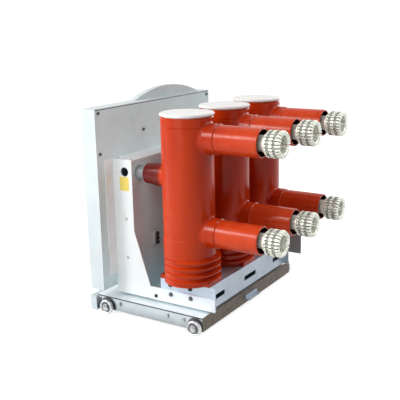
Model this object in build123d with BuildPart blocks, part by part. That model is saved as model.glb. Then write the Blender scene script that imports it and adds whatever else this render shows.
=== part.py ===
from build123d import *
import os

os.makedirs("parts", exist_ok=True)

# Truck-mounted indoor vacuum circuit breaker with three embedded poles, in millimetres.
# +Z is up from the ground, +Y points along the contact arms and X runs across the phases.
# The origin lies on the ground under the middle of the overall box.
# A "reach" is a distance from the pole axes along Y, forwards or back as its name says.

# Driving dimensions
phase_pitch = 210.0  # between neighbouring pole axes
contact_spacing = 275.0  # between the lower and the upper contact axis
rear_reach = 308.5  # back to the contact tips
truck_front_reach = 302.0  # forwards to the crossbeam of the truck
truck_top = 54.0  # height of the truck bed
sheet = 2.5  # truck, base and panel sheet
side_sheet = 3.0  # side plates of the mechanism housing
overrun = 2.0  # how far every cut runs past the face it starts from
fit_gap = 0.3  # clearance around pieces set into pockets

# Widths, from the phase pitch outwards
housing_margin = 37.0
truck_margin = 40.0
panel_margin = 67.0
cross_margin = 10.0
housing_half = phase_pitch + housing_margin
inner_half = housing_half - side_sheet
truck_half = housing_half + truck_margin
panel_half = housing_half + panel_margin
cross_half = truck_half + cross_margin

# Heights, from the ground upwards
pad_height = 6.0
rail_height = 40.0
carrier_height = 74.0
lower_contact_rise = 157.0
pole_head = 71.0
panel_foot = 24.0
panel_rise = 6.0
housing_drop = 79.0
base_bottom = truck_top + pad_height
floor_top = base_bottom + sheet
rail_top_z = base_bottom + rail_height
deck_z = base_bottom + carrier_height
lower_contact_z = deck_z + lower_contact_rise
upper_contact_z = lower_contact_z + contact_spacing
pole_top = upper_contact_z + pole_head
panel_bottom = base_bottom + panel_foot
panel_top = pole_top + panel_rise
panel_height = panel_top - panel_bottom
panel_mid_z = (panel_top + panel_bottom) / 2
housing_top_z = upper_contact_z - housing_drop

# Depths, from the pull handles back to the contact tips
cross_depth = 24.0
handle_reach = 46.0
front_reach = truck_front_reach + cross_depth + handle_reach
pole_y = (front_reach - rear_reach) / 2
truck_rear_reach = 89.0
truck_front = pole_y - truck_front_reach
truck_rear = pole_y + truck_rear_reach
cross_front = truck_front - cross_depth
panel_depth = 52.5
panel_setback = 49.0
housing_depth = 74.0
housing_front = truck_front + panel_setback
housing_rear = housing_front + housing_depth
panel_rear = housing_front
panel_front = panel_rear - panel_depth

# Names that loops go through
phases = {"a": phase_pitch, "b": 0.0, "c": -phase_pitch}
levels = {"upper": upper_contact_z, "lower": lower_contact_z}
sides = {"right": 1, "left": -1}

# Truck
skirt_height = 42.0
notch_length = 14.0
notch_roof = 8.0
beam_lip = 22.0
beam_hole_radius = 4.0
beam_hole_drop = 20.0
tab_half = 36.0
tab_depth = 18.0
tab_thick = 4.0
tab_height = 14.0
tab_drop = 30.0
skirt_bottom = truck_top - skirt_height
beam_hole_x = truck_half / 2
beam_hole_z = truck_top - beam_hole_drop
tab_z = truck_top - tab_drop
notch_top = truck_top - notch_roof

# Wheels and their stub axles
wheel_radius = 23.0
wheel_width = 12.0
wheel_gap = 5.0  # between the skirt and the wheel
wheel_chamfer = 1.5
wheel_rim = 5.0
wheel_dish = 2.0
wheel_hub_radius = 11.0
wheel_front_setback = 41.0
wheel_rear_setback = 24.0
axle_radius = 6.0
axle_clearance = 0.05
axle_shoulder_radius = 10.0
axle_head_radius = 9.0
axle_head_thick = 3.0
end_play = 0.3
wheel_rows = {"front": truck_front + wheel_front_setback, "rear": truck_rear - wheel_rear_setback}
wheel_in = truck_half + wheel_gap
wheel_out = wheel_in + wheel_width

# Crossbeam at the front of the truck, with its handles and racking parts
cross_height = 46.0
cross_drop = 4.0
handle_inset = 132.0
handle_half = 48.0
handle_strap = 4.0
handle_width = 22.0
handle_bend = 14.0
socket_radius = 19.0
socket_bore = 11.0
socket_proud = 14.0
screw_radius = 9.0
screw_drop = 24.0
bearing_half = 24.0
bearing_depth = 16.0
bearing_foot = 15.0
cross_top = truck_top - cross_drop
cross_bottom = cross_top - cross_height
handle_x = cross_half - handle_inset
screw_z = truck_top - screw_drop
bearing_bottom = screw_z - bearing_foot

# Pads between the truck and the breaker base
pad_inset = 57.0
pad_half = 24.0
pad_front_setback = 97.0
pad_rear_setback = 49.0
pad_x = housing_half - pad_inset
pad_rows = (truck_front + pad_front_setback, truck_rear - pad_rear_setback)

# Side plates of the mechanism housing
slope_drop = 219.0
slope_run = 54.0
slope_blend = 70.0
side_rear_reach = 106.0
side_flange = 36.0
flange_foot = 64.0
lifting_drop = 37.0
lifting_inset = 27.0
lifting_radius = 14.0
key_run = 74.0
key_rise = 12.0
key_size = 12.0
slope_top_z = housing_top_z - slope_drop
flange_bottom = base_bottom + flange_foot
flange_half = housing_half + side_flange
side_rear = pole_y + side_rear_reach

# Pole carrier
carrier_reach = 88.0
slot_length = 76.0
slot_height = 15.0
slot_inset = 12.0
slot_drop = 40.0
carrier_front = pole_y - carrier_reach
carrier_rear = pole_y + carrier_reach
slot_pitch = phase_pitch - slot_inset
slot_z = deck_z - slot_drop

# Bracket on the left cheek, above the rail of the side plate
bracket_overlap = 58.0
bracket_gap = 4.0
bracket_arm = 46.0
bracket_inset = 2.0
bracket_rise = 40.0

# Crest on the top edge of the panel
crest_x = -105.0
crest_half = 185.0
crest_rise = 35.0
crest_depth = 20.0

# Cover on the panel with its buttons, windows and charging socket
cover_margin = 109.0
cover_rise = 131.0
cover_drop = 73.0
cover_thick = 16.0
cover_corner = 24.0
cover_edge = 4.0
button_x = 52.0
button_drop = 105.0
button_radius = 17.0
button_proud = 5.0
window_half = 34.0
window_height = 26.0
window_pitch = 118.0
window_drop = 195.0
window_depth = 7.0
window_glass = 3.0
charging_inset = 55.0
charging_rise = 75.0
charging_radius = 21.0
charging_bore = 11.0
charging_proud = 4.0
pocket_depth = 9.0
cover_half = panel_half - cover_margin
cover_bottom = panel_bottom + cover_rise
cover_top = panel_top - cover_drop
button_z = cover_top - button_drop
window_z = cover_top - window_drop
charging_x = cover_half - charging_inset
charging_z = cover_bottom + charging_rise

# Poles
pole_radius = 77.0
pole_low_radius = 78.5
cap_thick = 6.0
cap_radius = 79.0
cap_edge = 2.0
cap_gap = 4.0
cap_spigot_radius = 71.0
band_drop = 27.0
band_groove = 1.2
top_edge = 3.0
step_drop = 19.0
step_rise = 4.0
shed_count = 4
shed_first = 17.0
shed_pitch = 20.0
shed_radius = 85.0
shed_offset = 8.5
shed_root = 9.0
shed_tip = 4.0
foot_half = 36.0
foot_reach = 86.0
foot_thick = 12.0
stub_drop = 41.0
stub_root_radius = 38.0
stub_end_radius = 31.0
strut_length = 36.0
strut_radius = 22.0
root_depth = 30.0  # how far bosses run into the column
boss_radius = 44.0
boss_reach = 109.0
boss_edge = 2.0
cap_seat = pole_top - cap_thick - cap_gap
band_z = cap_seat - band_drop
step_z = lower_contact_z - step_drop
stub_z = housing_top_z - stub_drop
stub_end = housing_rear + strut_length
boss_end = pole_y + boss_reach

# Contact arms
tulip_length = 48.5
sleeve_radius = 41.5
sleeve_setback = 16.0
sleeve_mouth_radius = 37.0
sleeve_floor = 12.0
sleeve_edge = 1.5
arm_radius = 22.0
hub_radius = 28.0
hub_length = 6.0
hub_end = pole_y + rear_reach - tulip_length
sleeve_end = hub_end - sleeve_setback

# Tulip contacts: a ring of flat fingers on a slotted carrier ring
finger_count = 24
finger_thick = 5.4
tulip_bore = 24.5
tulip_outer = 38.0
tulip_tip_outer = 35.5
tulip_tip_inner = 27.5
tulip_root_inner = 25.5
tulip_waist_inner = 28.5
tulip_root_outer = 33.0
root_rise = 5.0
tip_fall = 5.0
tip_flare = 4.0
bump_length = 14.0
bump_slope = 4.0
groove_floor = 34.2
groove_width = 9.0
groove_start = 9.0
groove_second = 28.0
ring_start = 16.0
ring_length = 6.0
ring_outer = 31.0
ring_inner = 26.5


def across(y):
    """Upright plane with its own x along X and its own y along Z; it faces the front."""
    return Plane(origin=(0, y, 0), x_dir=(1, 0, 0), z_dir=(0, -1, 0))


def along(x):
    """Upright plane with its own x along Y and its own y along Z; it faces +X."""
    return Plane(origin=(x, 0, 0), x_dir=(0, 1, 0), z_dir=(1, 0, 0))


def middle(low, high):
    return (low + high) / 2


# Truck bed: one sheet with folded-down skirts, notched at their front ends
with BuildPart() as truck_bed:
    with BuildSketch(across(truck_rear - sheet)):
        with Locations((0, middle(skirt_bottom, truck_top))):
            Rectangle(2 * truck_half, truck_top - skirt_bottom)
        with Locations((0, middle(skirt_bottom, truck_top) - sheet)):
            Rectangle(2 * (truck_half - sheet), truck_top - skirt_bottom, mode=Mode.SUBTRACT)
    extrude(amount=truck_rear - sheet - truck_front)
    with BuildSketch(along(-truck_half - overrun)):
        with Locations((truck_front + middle(-overrun, notch_length), notch_top - skirt_height / 2)):
            Rectangle(notch_length + overrun, skirt_height)
    extrude(amount=2 * (truck_half + overrun), mode=Mode.SUBTRACT)
truck_bed.part.label = "truck_bed"
export_step(truck_bed.part, "parts/truck_bed.step")

# Rear beam: end plate of the truck with a lip folded forwards at its foot
with BuildPart() as truck_rear_beam:
    with BuildSketch(across(truck_rear)):
        with Locations((0, middle(skirt_bottom, truck_top))):
            Rectangle(2 * truck_half, truck_top - skirt_bottom)
        with Locations((-beam_hole_x, beam_hole_z), (beam_hole_x, beam_hole_z)):
            Circle(beam_hole_radius, mode=Mode.SUBTRACT)
    extrude(amount=sheet)
    with BuildSketch(across(truck_rear - sheet)):
        with Locations((0, skirt_bottom + sheet / 2)):
            Rectangle(2 * (truck_half - sheet), sheet)
    extrude(amount=beam_lip)
truck_rear_beam.part.label = "truck_rear_beam"
export_step(truck_rear_beam.part, "parts/truck_rear_beam.step")

# Tab: a small angle on the middle of the rear beam
with BuildPart() as rear_tab:
    with BuildSketch(along(-tab_half)):
        with BuildLine():
            Polyline(
                (truck_rear, tab_z),
                (truck_rear + tab_depth, tab_z),
                (truck_rear + tab_depth, tab_z + tab_thick),
                (truck_rear + tab_thick, tab_z + tab_thick),
                (truck_rear + tab_thick, tab_z + tab_height),
                (truck_rear, tab_z + tab_height),
                close=True,
            )
        make_face()
    extrude(amount=2 * tab_half)
rear_tab.part.label = "rear_tab"
export_step(rear_tab.part, "parts/rear_tab.step")

# Crossbeam: a channel open to the rear, pierced for the racking socket
with BuildPart() as crossbeam:
    with BuildSketch(across(truck_front)):
        with Locations((0, middle(cross_bottom, cross_top))):
            Rectangle(2 * cross_half, cross_top - cross_bottom)
    extrude(amount=cross_depth)
    with BuildSketch(across(truck_front)):
        with Locations((0, middle(cross_bottom, cross_top))):
            Rectangle(2 * (cross_half - sheet), cross_top - cross_bottom - 2 * sheet)
    extrude(amount=cross_depth - sheet, mode=Mode.SUBTRACT)
    with BuildSketch(across(truck_front)):
        with Locations((0, screw_z)):
            Circle(socket_bore)
    extrude(amount=cross_depth + overrun, mode=Mode.SUBTRACT)
crossbeam.part.label = "crossbeam"
export_step(crossbeam.part, "parts/crossbeam.step")

# Pull handles: two straps folded to a loop, on edge against the crossbeam
with BuildPart() as pull_handles:
    for x in (-handle_x, handle_x):
        for inset, mode in ((0, Mode.ADD), (handle_strap, Mode.SUBTRACT)):
            with BuildSketch(Plane.XY.offset(screw_z - handle_width / 2)) as loop:
                with Locations((x, middle(pole_y - front_reach + inset, cross_front))):
                    Rectangle(2 * (handle_half - inset), handle_reach - inset)
                fillet(loop.vertices().group_by(Axis.Y)[0], radius=handle_bend - inset)
            extrude(amount=handle_width, mode=mode)
pull_handles.part.label = "pull_handles"
export_step(pull_handles.part, "parts/pull_handles.step")

# Racking socket: a collar on the crossbeam in line with the screw
with BuildPart() as racking_socket:
    with BuildSketch(across(cross_front)):
        with Locations((0, screw_z)):
            Circle(socket_radius)
            Circle(socket_bore, mode=Mode.SUBTRACT)
    extrude(amount=socket_proud)
racking_socket.part.label = "racking_socket"
export_step(racking_socket.part, "parts/racking_socket.step")

# Racking screw: a bar along the truck between two bearing blocks
screw_front = truck_front + bearing_depth
screw_rear = truck_rear - sheet
with BuildPart() as racking_screw:
    with BuildSketch(across(screw_rear)):
        with Locations((0, screw_z)):
            Circle(screw_radius)
    extrude(amount=screw_rear - truck_front)
racking_screw.part.label = "racking_screw"
export_step(racking_screw.part, "parts/racking_screw.step")

# Bearing blocks: they hang from the truck bed and hold both ends of the screw
with BuildPart() as screw_bearings:
    for y in (screw_front, screw_rear):
        with BuildSketch(across(y)):
            with Locations((0, middle(bearing_bottom, truck_top - sheet))):
                Rectangle(2 * bearing_half, truck_top - sheet - bearing_bottom)
            with Locations((0, screw_z)):
                Circle(screw_radius, mode=Mode.SUBTRACT)
        extrude(amount=bearing_depth)
screw_bearings.part.label = "screw_bearings"
export_step(screw_bearings.part, "parts/screw_bearings.step")

# Stub axles: a shoulder on the skirt, the running length and a head
with BuildPart() as wheel_axles:
    for side in sides.values():
        for y in wheel_rows.values():
            with BuildSketch(across(y)):
                with BuildLine():
                    Polyline(
                        (side * truck_half, wheel_radius),
                        (side * truck_half, wheel_radius + axle_shoulder_radius),
                        (side * (wheel_in - end_play), wheel_radius + axle_shoulder_radius),
                        (side * (wheel_in - end_play), wheel_radius + axle_radius),
                        (side * (wheel_out + end_play), wheel_radius + axle_radius),
                        (side * (wheel_out + end_play), wheel_radius + axle_head_radius),
                        (side * (wheel_out + end_play + axle_head_thick), wheel_radius + axle_head_radius),
                        (side * (wheel_out + end_play + axle_head_thick), wheel_radius),
                        close=True,
                    )
                make_face()
            revolve(axis=Axis((0, y, wheel_radius), (1, 0, 0)))
wheel_axles.part.label = "wheel_axles"
export_step(wheel_axles.part, "parts/wheel_axles.step")

# Wheels: turned discs with a chamfered tread and a dished outer face
for side_name, side in sides.items():
    for row_name, y in wheel_rows.items():
        bore = axle_radius + axle_clearance
        with BuildPart() as wheel:
            with BuildSketch(across(y)):
                with BuildLine():
                    Polyline(
                        (side * wheel_in, wheel_radius + bore),
                        (side * wheel_in, 2 * wheel_radius - wheel_chamfer),
                        (side * (wheel_in + wheel_chamfer), 2 * wheel_radius),
                        (side * (wheel_out - wheel_chamfer), 2 * wheel_radius),
                        (side * wheel_out, 2 * wheel_radius - wheel_chamfer),
                        (side * wheel_out, 2 * wheel_radius - wheel_rim),
                        (side * (wheel_out - wheel_dish), 2 * wheel_radius - wheel_rim - wheel_dish),
                        (side * (wheel_out - wheel_dish), wheel_radius + wheel_hub_radius),
                        (side * wheel_out, wheel_radius + wheel_hub_radius),
                        (side * wheel_out, wheel_radius + bore),
                        close=True,
                    )
                make_face()
            revolve(axis=Axis((0, y, wheel_radius), (1, 0, 0)))
        wheel.part.label = f"wheel_{row_name}_{side_name}"
        export_step(wheel.part, f"parts/wheel_{row_name}_{side_name}.step")

# Mounting pads between the truck bed and the breaker base
with BuildPart() as mounting_pads:
    with BuildSketch(Plane.XY.offset(truck_top)):
        with Locations(*[(x, y) for x in (-pad_x, pad_x) for y in pad_rows]):
            Rectangle(2 * pad_half, 2 * pad_half)
    extrude(amount=base_bottom - truck_top)
mounting_pads.part.label = "mounting_pads"
export_step(mounting_pads.part, "parts/mounting_pads.step")

# Base floor between the side plates
with BuildPart() as base_floor:
    with BuildSketch(Plane.XY.offset(base_bottom)):
        with Locations((0, middle(housing_front, carrier_rear))):
            Rectangle(2 * inner_half, carrier_rear - housing_front)
    extrude(amount=sheet)
base_floor.part.label = "base_floor"
export_step(base_floor.part, "parts/base_floor.step")

# Side plates: upright over the housing, sloping down to a low rail under the poles,
# with a flange folded outwards against the panel
for side_name, side in sides.items():
    with BuildPart() as side_plate:
        with BuildSketch(along(side * housing_half)):
            with BuildLine() as outline:
                Polyline(
                    (housing_front, base_bottom),
                    (side_rear, base_bottom),
                    (side_rear, rail_top_z),
                    (housing_rear + slope_run, rail_top_z),
                    (housing_rear, slope_top_z),
                    (housing_rear, housing_top_z),
                    (housing_front, housing_top_z),
                    close=True,
                )
            make_face()
            blend = vertices().sort_by_distance((housing_rear, slope_top_z, 0))[0]
            fillet(blend, radius=slope_blend)
            with Locations((housing_rear - lifting_inset, housing_top_z - lifting_drop)):
                Circle(lifting_radius, mode=Mode.SUBTRACT)
            with Locations((housing_rear + key_run, base_bottom + key_rise)):
                Rectangle(key_size, key_size, mode=Mode.SUBTRACT)
        extrude(amount=-side * side_sheet)
        with BuildSketch(across(housing_front + side_sheet)):
            with Locations((side * middle(inner_half, flange_half), middle(flange_bottom, housing_top_z))):
                Rectangle(flange_half - inner_half, housing_top_z - flange_bottom)
        extrude(amount=side_sheet)
    side_plate.part.label = f"side_plate_{side_name}"
    export_step(side_plate.part, f"parts/side_plate_{side_name}.step")

# Rear wall and top plate of the housing
with BuildPart() as housing_rear_wall:
    with BuildSketch(across(housing_rear)):
        with Locations((0, middle(floor_top, housing_top_z - sheet))):
            Rectangle(2 * inner_half, housing_top_z - sheet - floor_top)
    extrude(amount=sheet)
housing_rear_wall.part.label = "housing_rear_wall"
export_step(housing_rear_wall.part, "parts/housing_rear_wall.step")

with BuildPart() as housing_lid:
    with BuildSketch(Plane.XY.offset(housing_top_z - sheet)):
        with Locations((0, middle(housing_front, housing_rear))):
            Rectangle(2 * inner_half, housing_rear - housing_front)
    extrude(amount=sheet)
housing_lid.part.label = "housing_lid"
export_step(housing_lid.part, "parts/housing_lid.step")

# Pole carrier: folded deck with front and rear walls and longer cheeks
with BuildPart() as pole_carrier:
    with BuildSketch(Plane.XY.offset(floor_top)):
        with Locations((0, middle(carrier_front, carrier_rear))):
            Rectangle(2 * inner_half, carrier_rear - carrier_front)
    extrude(amount=deck_z - floor_top)
    with BuildSketch(Plane.XY.offset(floor_top)):
        with Locations((0, middle(carrier_front, carrier_rear))):
            Rectangle(2 * (inner_half - sheet), carrier_rear - carrier_front - 2 * sheet)
    extrude(amount=deck_z - sheet - floor_top, mode=Mode.SUBTRACT)
    for side in sides.values():
        with BuildSketch(along(side * inner_half)):
            with Locations((middle(carrier_front, side_rear), middle(floor_top, deck_z))):
                Rectangle(side_rear - carrier_front, deck_z - floor_top)
        extrude(amount=-side * sheet)
    with BuildSketch(across(carrier_rear + overrun)):
        with Locations((-slot_pitch, slot_z), (0, slot_z), (slot_pitch, slot_z)):
            Rectangle(slot_length, slot_height)
    extrude(amount=sheet + 2 * overrun, mode=Mode.SUBTRACT)
pole_carrier.part.label = "pole_carrier"
export_step(pole_carrier.part, "parts/pole_carrier.step")

# Bracket standing on the left cheek above the rail of the side plate
with BuildPart() as side_bracket:
    with BuildSketch(along(-housing_half)):
        with BuildLine():
            Polyline(
                (side_rear - bracket_overlap, rail_top_z + bracket_gap),
                (side_rear + bracket_arm, rail_top_z + bracket_gap),
                (side_rear + bracket_arm, deck_z + bracket_rise),
                (side_rear + bracket_gap, deck_z + bracket_rise),
                (side_rear + bracket_gap, deck_z - bracket_inset),
                (side_rear - bracket_overlap, deck_z - bracket_inset),
                close=True,
            )
        make_face()
    extrude(amount=side_sheet)
side_bracket.part.label = "side_bracket"
export_step(side_bracket.part, "parts/side_bracket.step")

# Front panel: a folded pan, and the plate that closes it behind
with BuildPart() as front_panel:
    with BuildSketch(across(panel_rear)):
        with Locations((0, panel_mid_z)):
            Rectangle(2 * panel_half, panel_height)
    extrude(amount=panel_depth)
    with BuildSketch(across(panel_rear)):
        with Locations((0, panel_mid_z)):
            Rectangle(2 * (panel_half - sheet), panel_height - 2 * sheet)
    extrude(amount=panel_depth - sheet, mode=Mode.SUBTRACT)
front_panel.part.label = "front_panel"
export_step(front_panel.part, "parts/front_panel.step")

with BuildPart() as panel_back:
    with BuildSketch(across(panel_rear)):
        with Locations((0, panel_mid_z)):
            Rectangle(2 * (panel_half - sheet), panel_height - 2 * sheet)
    extrude(amount=sheet)
panel_back.part.label = "panel_back"
export_step(panel_back.part, "parts/panel_back.step")

# Crest: a low arched rib along the front of the panel's top flange
with BuildPart() as panel_crest:
    with BuildSketch(across(panel_front + crest_depth)):
        with BuildLine():
            ThreePointArc(
                (crest_x - crest_half, panel_top),
                (crest_x, panel_top + crest_rise),
                (crest_x + crest_half, panel_top),
            )
            Line((crest_x + crest_half, panel_top), (crest_x - crest_half, panel_top))
        make_face()
    extrude(amount=crest_depth)
panel_crest.part.label = "panel_crest"
export_step(panel_crest.part, "parts/panel_crest.step")

# Cover on the front of the panel, with pockets for what it carries
with BuildPart() as front_cover:
    with BuildSketch(across(panel_front)):
        with Locations((0, middle(cover_bottom, cover_top))):
            RectangleRounded(2 * cover_half, cover_top - cover_bottom, cover_corner)
    extrude(amount=cover_thick)
    chamfer(front_cover.faces().sort_by(Axis.Y)[0].edges(), length=cover_edge)
    with BuildSketch(across(panel_front - cover_thick)):
        with Locations((-button_x, button_z), (button_x, button_z)):
            Circle(button_radius + fit_gap)
        with Locations((charging_x, charging_z)):
            Circle(charging_radius + fit_gap)
    extrude(amount=-pocket_depth, mode=Mode.SUBTRACT)
    with BuildSketch(across(panel_front - cover_thick)):
        with Locations((-window_pitch, window_z), (0, window_z), (window_pitch, window_z)):
            Rectangle(2 * window_half, window_height)
    extrude(amount=-window_depth, mode=Mode.SUBTRACT)
front_cover.part.label = "front_cover"
export_step(front_cover.part, "parts/front_cover.step")

with BuildPart() as push_buttons:
    with BuildSketch(across(panel_front - cover_thick + pocket_depth)):
        with Locations((-button_x, button_z), (button_x, button_z)):
            Circle(button_radius)
    extrude(amount=pocket_depth + button_proud)
push_buttons.part.label = "push_buttons"
export_step(push_buttons.part, "parts/push_buttons.step")

with BuildPart() as indicator_windows:
    with BuildSketch(across(panel_front - cover_thick + window_depth)):
        with Locations((-window_pitch, window_z), (0, window_z), (window_pitch, window_z)):
            Rectangle(2 * (window_half - fit_gap), window_height - 2 * fit_gap)
    extrude(amount=window_glass)
indicator_windows.part.label = "indicator_windows"
export_step(indicator_windows.part, "parts/indicator_windows.step")

with BuildPart() as charging_socket:
    with BuildSketch(across(panel_front - cover_thick + pocket_depth)):
        with Locations((charging_x, charging_z)):
            Circle(charging_radius)
            Circle(charging_bore, mode=Mode.SUBTRACT)
    extrude(amount=pocket_depth + charging_proud)
charging_socket.part.label = "charging_socket"
export_step(charging_socket.part, "parts/charging_socket.step")

# Poles: turned column, eccentric sheds at the rear of its foot, bosses for arms and strut
for phase, x in phases.items():
    pole_axis = Axis((x, pole_y, 0), (0, 0, 1))
    shed_axis = Axis((x, pole_y + shed_offset, 0), (0, 0, 1))
    with BuildPart() as pole:
        with BuildSketch(across(pole_y)):
            with BuildLine():
                Polyline(
                    (x, deck_z),
                    (x + pole_low_radius, deck_z),
                    (x + pole_low_radius, step_z),
                    (x + pole_radius, step_z + step_rise),
                    (x + pole_radius, band_z - band_groove),
                    (x + pole_radius - band_groove, band_z),
                    (x + pole_radius, band_z + band_groove),
                    (x + pole_radius, cap_seat - top_edge),
                    (x + pole_radius - top_edge, cap_seat),
                    (x, cap_seat),
                    close=True,
                )
            make_face()
        revolve(axis=pole_axis)
        for shed in range(shed_count):
            shed_z = deck_z + shed_first + shed * shed_pitch
            with BuildSketch(across(pole_y + shed_offset)):
                with BuildLine():
                    Polyline(
                        (x, shed_z - shed_root),
                        (x + pole_radius - shed_offset, shed_z - shed_root),
                        (x + shed_radius, shed_z - shed_tip / 2),
                        (x + shed_radius, shed_z + shed_tip / 2),
                        (x + pole_radius - shed_offset, shed_z + shed_root),
                        (x, shed_z + shed_root),
                        close=True,
                    )
                make_face()
            revolve(axis=shed_axis)
        with BuildSketch(Plane.XY.offset(deck_z)):
            with Locations((x, pole_y)):
                Rectangle(2 * foot_half, 2 * foot_reach)
        extrude(amount=foot_thick)
        for z in levels.values():
            with BuildSketch(along(x)):
                with BuildLine():
                    Polyline(
                        (pole_y + root_depth, z),
                        (pole_y + root_depth, z + boss_radius),
                        (boss_end - boss_edge, z + boss_radius),
                        (boss_end, z + boss_radius - boss_edge),
                        (boss_end, z),
                        close=True,
                    )
                make_face()
            revolve(axis=Axis((x, 0, z), (0, 1, 0)))
        with BuildSketch(along(x)):
            with BuildLine():
                Polyline(
                    (pole_y - root_depth, stub_z),
                    (pole_y - root_depth, stub_z + stub_root_radius),
                    (pole_y - pole_radius, stub_z + stub_root_radius),
                    (stub_end, stub_z + stub_end_radius),
                    (stub_end, stub_z),
                    close=True,
                )
            make_face()
        revolve(axis=Axis((x, 0, stub_z), (0, 1, 0)))
    pole.part.label = f"pole_{phase}"
    export_step(pole.part, f"parts/pole_{phase}.step")

    # Cap: a lid that overhangs its spigot, which leaves a shadow gap
    with BuildPart() as pole_cap:
        with BuildSketch(across(pole_y)):
            with BuildLine():
                Polyline(
                    (x, cap_seat),
                    (x + cap_spigot_radius, cap_seat),
                    (x + cap_spigot_radius, cap_seat + cap_gap),
                    (x + cap_radius, cap_seat + cap_gap),
                    (x + cap_radius, pole_top - cap_edge),
                    (x + cap_radius - cap_edge, pole_top),
                    (x, pole_top),
                    close=True,
                )
            make_face()
        revolve(axis=pole_axis)
    pole_cap.part.label = f"pole_cap_{phase}"
    export_step(pole_cap.part, f"parts/pole_cap_{phase}.step")

# Struts: metal spacers from the rear wall of the housing to the pole stubs
with BuildPart() as pole_struts:
    with BuildSketch(across(stub_end)):
        with Locations(*[(x, stub_z) for x in phases.values()]):
            Circle(strut_radius)
    extrude(amount=strut_length)
pole_struts.part.label = "pole_struts"
export_step(pole_struts.part, "parts/pole_struts.step")

# One finger, with the contact axis along Z and its root at zero
finger_top = tulip_length - tip_fall
with BuildPart() as finger:
    with BuildSketch(Plane.XZ):
        with BuildLine():
            Polyline(
                (tulip_root_inner, 0),
                (tulip_root_outer, 0),
                (tulip_outer, root_rise),
                (tulip_outer, groove_start),
                (groove_floor, groove_start),
                (groove_floor, groove_start + groove_width),
                (tulip_outer, groove_start + groove_width),
                (tulip_outer, groove_second),
                (groove_floor, groove_second),
                (groove_floor, groove_second + groove_width),
                (tulip_outer, groove_second + groove_width),
                (tulip_outer, finger_top),
                (tulip_tip_outer, tulip_length),
                (tulip_tip_inner, tulip_length),
                (tulip_bore, tulip_length - tip_flare),
                (tulip_bore - overrun, tulip_length - tip_flare),
                (tulip_bore - overrun, tulip_length - tip_flare - bump_length),
                (tulip_bore, tulip_length - tip_flare - bump_length),
                (tulip_waist_inner, tulip_length - tip_flare - bump_length - bump_slope),
                (tulip_waist_inner, root_rise),
                close=True,
            )
        make_face()
    extrude(amount=finger_thick / 2, both=True)
    Cylinder(tulip_bore, 2 * tulip_length, mode=Mode.SUBTRACT)

# The whole contact: fingers around the axis, held by the slotted carrier ring
with BuildPart() as tulip_form:
    with PolarLocations(0, finger_count):
        add(finger.part)
    with BuildSketch(Plane.XY.offset(ring_start)):
        Circle(ring_outer)
        Circle(ring_inner, mode=Mode.SUBTRACT)
    extrude(amount=ring_length)

# Arms: insulating sleeve, conductor and tulip contact on both levels of each phase
for phase, x in phases.items():
    for level_name, z in levels.items():
        arm_axis = Axis((x, 0, z), (0, 1, 0))
        with BuildPart() as sleeve:
            with BuildSketch(along(x)):
                with BuildLine():
                    Polyline(
                        (boss_end, z + arm_radius),
                        (boss_end, z + sleeve_radius),
                        (sleeve_end - sleeve_edge, z + sleeve_radius),
                        (sleeve_end, z + sleeve_radius - sleeve_edge),
                        (sleeve_end, z + sleeve_mouth_radius),
                        (boss_end + sleeve_floor, z + sleeve_mouth_radius),
                        (boss_end + sleeve_floor, z + arm_radius),
                        close=True,
                    )
                make_face()
            revolve(axis=arm_axis)
        sleeve.part.label = f"sleeve_{level_name}_{phase}"
        export_step(sleeve.part, f"parts/sleeve_{level_name}_{phase}.step")

        with BuildPart() as conductor:
            with BuildSketch(along(x)):
                with BuildLine():
                    Polyline(
                        (boss_end, z),
                        (boss_end, z + arm_radius),
                        (hub_end - hub_length, z + arm_radius),
                        (hub_end - hub_length, z + hub_radius),
                        (hub_end, z + hub_radius),
                        (hub_end, z),
                        close=True,
                    )
                make_face()
            revolve(axis=arm_axis)
        conductor.part.label = f"conductor_{level_name}_{phase}"
        export_step(conductor.part, f"parts/conductor_{level_name}_{phase}.step")

        seat = Plane(origin=(x, hub_end, z), x_dir=(1, 0, 0), z_dir=(0, 1, 0))
        with BuildPart() as tulip:
            with Locations(seat):
                add(tulip_form.part)
        tulip.part.label = f"tulip_{level_name}_{phase}"
        export_step(tulip.part, f"parts/tulip_{level_name}_{phase}.step")
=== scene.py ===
import math

import bmesh
import bpy
import numpy as np
from mathutils import Matrix, Vector


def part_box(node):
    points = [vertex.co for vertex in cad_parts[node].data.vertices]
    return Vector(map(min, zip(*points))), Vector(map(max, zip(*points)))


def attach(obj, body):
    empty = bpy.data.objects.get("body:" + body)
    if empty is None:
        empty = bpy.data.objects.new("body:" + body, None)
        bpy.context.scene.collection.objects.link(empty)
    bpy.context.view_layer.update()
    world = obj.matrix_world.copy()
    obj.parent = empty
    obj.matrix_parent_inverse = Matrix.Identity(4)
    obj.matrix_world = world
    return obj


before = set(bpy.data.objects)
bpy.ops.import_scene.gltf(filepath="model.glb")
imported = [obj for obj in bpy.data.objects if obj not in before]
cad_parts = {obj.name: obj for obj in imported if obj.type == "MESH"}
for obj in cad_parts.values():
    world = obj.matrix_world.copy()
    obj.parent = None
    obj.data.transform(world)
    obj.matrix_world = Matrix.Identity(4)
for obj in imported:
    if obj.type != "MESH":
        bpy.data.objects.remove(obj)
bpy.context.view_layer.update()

# Everything is in metres, in the frame of the CAD model. +Y points along the contact arms.
CHASSIS = "chassis"
MM = 0.001
WELD = 2e-6
PHASES = ("a", "b", "c")
LEVELS = ("upper", "lower")
SIDES = {"right": 1.0, "left": -1.0}
UPWARD = (0, 0, 1)
REARWARD = (0, 1, 0)
FORWARD = (0, -1, 0)

# Angles in degrees above which an edge of a piece shows as sharp
EDGED = 30.0
ROUNDED = 40.0
SMOOTH = 60.0


def node_box(node):
    """Lowest and highest corner of a CAD node, as arrays."""
    low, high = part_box(node)
    return np.array(low), np.array(high)


def node_middle(node):
    """Middle of the box round a CAD node."""
    low, high = node_box(node)
    return (low + high) / 2


# Places taken from the CAD model

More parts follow.
